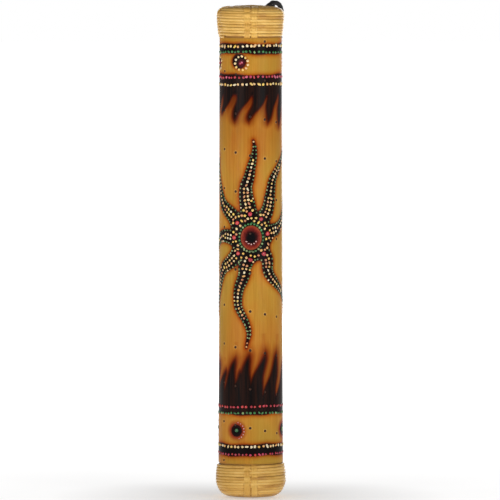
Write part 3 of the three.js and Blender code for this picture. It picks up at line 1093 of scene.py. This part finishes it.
def make_tube():
    wall = placed("drilling", tube_mesh())
    cutter = hole_cutter()
    cut = wall.modifiers.new("holes", "BOOLEAN")
    cut.object = cutter
    cut.operation = "DIFFERENCE"
    cut.solver = "MANIFOLD"
    drilled = wall.evaluated_get(bpy.context.evaluated_depsgraph_get())
    mesh = bpy.data.meshes.new_from_object(drilled)
    mesh.name = "bamboo_wall_drilled"
    bpy.data.objects.remove(wall)
    bpy.data.objects.remove(cutter)
    count = len(mesh.vertices)
    place = np.empty(count * 3, dtype=np.float32)
    mesh.vertices.foreach_get("co", place)
    place = place.reshape(-1, 3).astype(float)
    angle = np.degrees(np.arctan2(place[:, 0], -place[:, 1]))
    height = place[:, 2] / MM
    radius = np.hypot(place[:, 0], place[:, 1])
    upper = flame_heat(angle, height, TOP_FLAMES, TOP_ROOT, TOP_TOAST)
    lower = flame_heat(angle, height, BOTTOM_FLAMES, BOTTOM_ROOT, BOTTOM_TOAST)
    burn = np.maximum(
        upper * (height < STRIPES[1][1] - 1),  # no flame goes past the stripe at its root
        lower * (height > STRIPES[2][0] + 1),
    )
    add_float(mesh, "burn", burn)
    add_float(mesh, "paint", np.clip(paint_distance(angle, height), -20, 20))
    add_float(mesh, "eye", eye_radius(angle, height))
    add_float(mesh, "blush", blush(angle, height))
    add_float(mesh, "mist", np.clip(glow_reach(angle, height), -6, 20))
    add_float(mesh, "peg", peg_distance(angle, height))
    add_float(mesh, "raw", radius < wall_radius(place[:, 2]) - 0.3 * MM)
    mesh.materials.clear()
    piece = new_object("bamboo_wall", mesh, bamboo_material(), "painted_bamboo")
    mesh.set_sharp_from_angle(angle=math.radians(35))
    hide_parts("bamboo_tube")


# ---------------------------------------------------------------- pegs


def peg_material():
    n = Nodes("peg_wood")
    fibre = n.noise(n.place((1, 1, 0.15)), 1800, 3, 0.6)
    n.set(
        Base_Color=n.tones(fibre, (0.3, 38, 18, 10), (0.7, 82, 44, 24)),
        Roughness=n.range(fibre, 0.2, 0.8, 0.6, 0.85),
        Normal=n.bump(fibre, 0.15 * MM, 0.6),
    )
    return n.material


def make_pegs():
    """Slivers whittled to slightly different sections, cut off a little below the surface."""
    material = peg_material()
    whittle = np.random.default_rng(19)
    sides = 10
    turns = {}
    for i, angle, height in pegs():
        points, faces = turns.setdefault(i // PEGS_PER_TURN, ([], []))
        outward, sideways = spoke(angle)
        lean = whittle.uniform(-0.15, 0.15, 2) * MM
        section = PEG_RADIUS * whittle.uniform(0.84, 1.0, sides)
        head = wall_radius(height) - whittle.uniform(0.02, 0.25) * MM
        first = len(points)
        rings = ((-1.0 * MM, 0.35), (2.0 * MM, 0.8), (BORE, 1.0), (head - 0.15 * MM, 1.0), (head, 0.82))
        for reach, size in rings:
            share = reach / head
            for j in range(sides):
                a = 2 * math.pi * j / sides
                spot = outward * reach
                spot = spot + sideways * (section[j] * size * math.cos(a) + lean[0] * share * 0.5)
                spot[2] += height + section[j] * size * math.sin(a) + lean[1] * share * 0.5
                points.append(spot)
        faces += rod(first, len(rings), sides)
    for turn, (points, faces) in turns.items():
        mesh = mesh_from(f"pegs_{turn + 1:02d}", points, faces)
        piece = new_object(mesh.name, mesh, material, "peg_wood")
        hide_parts(f"peg_turn_{turn + 1:02d}")


# ---------------------------------------------------------------- painted dots

DOT_COLOURS = {
    "cream": ((252, 222, 160), (248, 202, 140), (252, 234, 192), (252, 212, 116)),
    "peach": ((238, 186, 120), (226, 154, 100), (246, 206, 140), (208, 130, 88)),
    "yellow": ((252, 212, 92), (250, 196, 92), (246, 184, 104)),
    "green": ((42, 120, 50), (66, 136, 66), (140, 176, 110), (34, 100, 44)),
    "moss": ((104, 138, 78), (62, 126, 64), (150, 168, 110), (86, 112, 62)),
    "red": ((200, 36, 58), (210, 50, 50), (180, 28, 48)),
    "rose": ((200, 46, 88), (218, 94, 126), (180, 32, 64)),
    "pale": ((232, 186, 180), (222, 150, 160)),
}

# Radii of the drops on a sun, mm at full size.
EDGE_BEAD, EYE_BEAD, BODY_DROP, RED_DROP, PALE_DROP = 0.74, 1.0, 1.03, 1.8, 0.6
EYE_BEADS = 25
RING_DOTS, SPOT_DOTS = 11, 8
ARM_MIX = ("peach", "peach", "cream", "cream", "yellow")
BODY_MIX = ("yellow", "cream", "peach", "yellow")


def dot_material():
    """Thick glossy paint: the colour of each dot is on its mesh."""
    n = Nodes("paint_dots")
    place = n.place()
    film = n.noise(place, 1300, 3, 0.55)
    tint = n.attribute("tint", "Color")
    n.set(
        Base_Color=n.mix(
            n.range(film, 0.35, 0.7), tint, n.mix(1.0, tint, (0.82, 0.78, 0.74), "MULTIPLY")
        ),
        Roughness=n.range(film, 0.3, 0.7, 0.26, 0.42),
        Normal=n.bump(film, 0.06 * MM, 0.5),
        Coat_Weight=0.4,
        Coat_Roughness=0.15,
    )
    return n.material


class Dots:
    """Drops of thick paint, gathered into one mesh for each kind."""

    SIDES = 10
    # Rings of a drop, from its edge up: (share of its radius, share of its height).
    RINGS = ((1.0, -0.02), (0.93, 0.42), (0.66, 0.82), (0.3, 0.98))

    def __init__(self):
        self.kinds = {}
        self.random = np.random.default_rng(101)

    def add(self, kind, angle, height, radius, stretch=None, tilt=None):
        """A drop at an angle in degrees and a height in mm, of a radius in mm."""
        points, faces, tints = self.kinds.setdefault(kind, ([], [], []))
        random = self.random
        if stretch is None:
            stretch = 1.5 if random.random() < 0.14 else random.uniform(0.94, 1.12)
        if tilt is None:
            tilt = random.uniform(0, math.pi)
        radius = radius * random.uniform(0.88, 1.1)
        rise = 0.4 * radius ** 0.7
        wall = float(wall_radius(height * MM)) / MM
        shades = DOT_COLOURS[kind]
        shade = np.array(srgb(*shades[random.integers(len(shades))])) * random.uniform(0.9, 1.05)
        first = len(points)
        wobble = 1 + 0.07 * random.standard_normal(self.SIDES)
        for size, lift in self.RINGS:
            for j in range(self.SIDES):
                a = 2 * math.pi * j / self.SIDES
                x = radius * size * stretch * wobble[j] * math.cos(a)
                y = radius * size / stretch**0.5 * wobble[j] * math.sin(a)
                across = x * math.cos(tilt) - y * math.sin(tilt)
                up = x * math.sin(tilt) + y * math.cos(tilt)
                place = around(
                    angle + math.degrees(across / wall),
                    (wall + rise * lift) * MM,
                    (height + up) * MM,
                )
                points.append(tuple(place))
        faces += bands(first, len(self.RINGS), self.SIDES)
        top = len(points)
        points.append(tuple(around(angle, (wall + rise) * MM, height * MM)))
        for j in range(self.SIDES):
            k = (j + 1) % self.SIDES
            faces.append((top - self.SIDES + j, top - self.SIDES + k, top))
        faces.append(lid(first, self.SIDES))
        tints += [shade] * (len(points) - first)

    def finish(self, material):
        for kind, (points, faces, tints) in self.kinds.items():
            mesh = mesh_from(f"dots_{kind}", points, faces)
            add_colour(mesh, "tint", tints)
            new_object(mesh.name, mesh, material, "painted_bamboo")


def dot_rows(dots):
    for height, kind, radius, spacing in DOT_ROWS:
        girth = 2 * math.pi * float(wall_radius(height * MM)) / MM
        count = round(girth / spacing)
        for i in range(count):
            angle = 360 * (i + dots.random.uniform(-0.18, 0.18)) / count
            up = 0.45 * math.sin(math.radians(2 * angle) + height) + dots.random.uniform(-0.3, 0.3)
            colour = kind
            if kind == "cream" and dots.random.random() < 0.3:
                colour = "yellow"
            if kind == "rose" and dots.random.random() < 0.4:
                colour = "red"
            dots.add(colour, angle, height + up, radius)


class Room:
    """The drops put on a sun so far, and how much room they leave."""

    def __init__(self, dots, sun):
        self.dots, self.sun, self.taken = dots, sun, []

    def free(self, x, y, room):
        return all(math.hypot(x - a, y - b) > room + r for a, b, r in self.taken)

    def put(self, kind, x, y, radius, **shape):
        angle = self.sun.centre[0] + math.degrees(x / self.sun.wall)
        self.dots.add(kind, angle, self.sun.centre[1] + y, radius, **shape)
        self.taken.append((x, y, radius))


def walk(arm, start, step, margin):
    """Places along an arm: (x, y), its direction and half its width."""
    line, half, travelled = arm
    direction = np.gradient(line, axis=0)
    direction /= np.linalg.norm(direction, axis=1)[:, None]
    for s in np.arange(start, travelled[-1] - margin, step):
        yield tuple(
            float(np.interp(s, travelled, values))
            for values in (line[:, 0], line[:, 1], direction[:, 0], direction[:, 1], half)
        )


def sun_dots(dots, sun):
    scale, random = sun.scale, dots.random
    room = Room(dots, sun)
    for x, y in RED_DROPS:
        room.put("red", sun.mirror * x * scale, y * scale, RED_DROP * scale, stretch=1.04)
    for k in range(EYE_BEADS):
        turn = 2 * math.pi * k / EYE_BEADS
        x = EYE[0] * 1.17 * scale * math.sin(turn)
        y = (EYE[1] * 1.17 * math.cos(turn) - EYE_DROP) * scale
        room.put("green" if math.cos(turn) > -0.5 else "moss", x, y, EYE_BEAD * scale)
    for k in range(5):  # a few pale touches under the pupil
        turn = math.radians(125 + 27 * k)
        x, y = 4.9 * scale * math.sin(turn), (5.3 * math.cos(turn) - EYE_DROP) * scale
        room.put("pale", x, y, PALE_DROP * scale)

    for number, arm in enumerate(sun.arms):
        others = sun.merged(skip=number)
        for x, y, dx, dy, width in walk(arm, 1.0, 2.95 * scale, 0.8):  # beads on both edges
            if width < 1.3:
                continue
            for side in (-1, 1):
                bx, by = x - side * dy * (width - 0.6), y + side * dx * (width - 0.6)
                if sun.sample(others, bx, by) > -0.6 and room.free(bx, by, 0.9):
                    colour = "cream" if random.random() < 0.1 else "moss"
                    room.put(colour, bx, by, EDGE_BEAD * scale)
        for x, y, dx, dy, width in walk(arm, 3.0, 3.05 * scale, 0.2):  # drops along the middle
            if sun.eye(x, y) < 1.4:
                continue
            for row in (-0.5, 0.5) if width > 5.0 * scale else (0,):
                bx, by = x - dy * row * 3.0 * scale, y + dx * row * 3.0 * scale
                if room.free(bx, by, 1.4):
                    size = 1.0 if width > 2.0 else 0.75
                    room.put(random.choice(ARM_MIX), bx, by, size * scale)

    for _ in range(5000):  # and drops wherever the body still has room
        x, y = random.uniform(-27, 27) * scale, random.uniform(-31, 31) * scale
        depth = -float(sun.sample(sun.edge, x, y))
        if depth < 0.7 or sun.eye(x, y) < 1.34:
            continue
        if depth < 1.5:
            if room.free(x, y, 1.3):
                room.put("moss", x, y, EDGE_BEAD * scale)
        elif room.free(x, y, 1.55):
            room.put(random.choice(BODY_MIX), x, y, BODY_DROP * scale)


def medallion_dots(dots):
    for angle, height, kind in MEDALLIONS:
        wall = float(wall_radius(height * MM)) / MM

        def put(colour, x, y, radius, **shape):
            dots.add(colour, angle + math.degrees(x / wall), height + y, radius, **shape)

        if kind == "ring":
            for k in range(RING_DOTS):
                turn = 2 * math.pi * (k + 0.15) / RING_DOTS
                put("cream", RING_RADIUS * math.sin(turn), RING_RADIUS * math.cos(turn), 1.05)
            put("rose", -0.9, -0.1, 1.0, stretch=1.2, tilt=0.7)
            put("rose", 0.6, 0.5, 0.7)
            put("pale", 0.1, 1.1, 0.45)
        else:
            put("green", 0, 0.3, 1.75, stretch=1.02)
            for k in range(SPOT_DOTS):
                turn = math.radians(12 + 21 * k)
                put("pale", 6.6 * math.sin(turn), 6.8 * math.cos(turn), 0.5)


def make_dots():
    dots = Dots()
    dot_rows(dots)
    for sun in SUNS:
        sun_dots(dots, sun)
    medallion_dots(dots)
    dots.finish(dot_material())


# ---------------------------------------------------------------- what is sealed inside


def inside_materials():
    wood = Nodes("plug_wood")
    rings = wood.noise(wood.place((1, 0.12, 1)), 420, 4, 0.6)
    wood.set(
        Base_Color=wood.tones(rings, (0.35, 150, 108, 64), (0.65, 204, 164, 112)),
        Roughness=wood.range(rings, 0.3, 0.7, 0.6, 0.8),
        Normal=wood.bump(rings, 0.15 * MM, 0.5),
    )
    stone = Nodes("pebble_stone")
    fleck = stone.noise(stone.place(), 900, 4, 0.65)
    stone.set(
        Base_Color=stone.tones(
            fleck, (0.35, 112, 102, 90), (0.5, 158, 148, 134), (0.7, 196, 190, 178)
        ),
        Roughness=stone.range(fleck, 0.3, 0.7, 0.55, 0.8),
        Normal=stone.bump(fleck, 0.1 * MM, 0.6),
    )
    seed = Nodes("seed_skin")
    skin = seed.noise(seed.place(), 2400, 3, 0.6)
    seed.set(
        Base_Color=seed.tones(skin, (0.35, 60, 34, 18), (0.7, 104, 66, 36)),
        Roughness=seed.range(skin, 0.3, 0.7, 0.35, 0.55),
        Normal=seed.bump(skin, 0.05 * MM, 0.5),
    )
    return {"plug": wood.material, "pebble": stone.material, "seed": seed.material}


def river_worn(name, node, body, material, slot, rough, seed):
    """A rounded pebble or seed a little smaller than its CAD solid, with soft dents."""
    low, high = (np.array(corner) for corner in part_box(node))
    centre, half = (low + high) / 2, float(min(high - low)) / 2
    build = bmesh.new()
    bmesh.ops.create_icosphere(build, subdivisions=3, radius=1.0)
    shape = np.random.default_rng(seed)
    bumps = shape.normal(size=(7, 3))
    bumps /= np.linalg.norm(bumps, axis=1)[:, None]
    depths = shape.uniform(-1, 0.2, 7) * rough
    stretch = shape.uniform(0.86, 1.0, 3)
    for vertex in build.verts:
        spot = np.array(vertex.co)
        dent = sum(d * max(float(spot @ b), 0) ** 3 for d, b in zip(depths, bumps))
        vertex.co = Vector(spot * stretch * (1 + dent) * half * 0.98 + centre)
    mesh = bpy.data.meshes.new(name)
    build.to_mesh(mesh)
    build.free()
    piece = new_object(name, mesh, material, slot, body=body)
    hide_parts(node)


def make_inside():
    materials = inside_materials()
    for node in ("top_plug", "bottom_plug"):
        cad = frame["nodes"][node]
        cad.data.materials.clear()
        cad.data.materials.append(materials["plug"])
    for body, nodes in frame["record"]["behaviour"]["bodies"].items():
        for node in nodes:
            number = node.split("_")[-1]
            if node.startswith("pebble"):
                finish = (materials["pebble"], "pebble_stone")
                river_worn(f"stone_{number}", node, body, *finish, 0.16, int(number))
            elif node.startswith("seed"):
                finish = (materials["seed"], "seed")
                river_worn(f"grain_{number}", node, body, *finish, 0.08, 60 + int(number))


# ---------------------------------------------------------------- the scene

make_camera()
black = cord_material()
make_cord(black)
make_knots(black)
make_caps()
make_tube()
make_pegs()
make_dots()
make_inside()
make_light()
make_floor()

plain = [[[float(x) for x in corner] for corner in box] for box in (cad_box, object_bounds())]
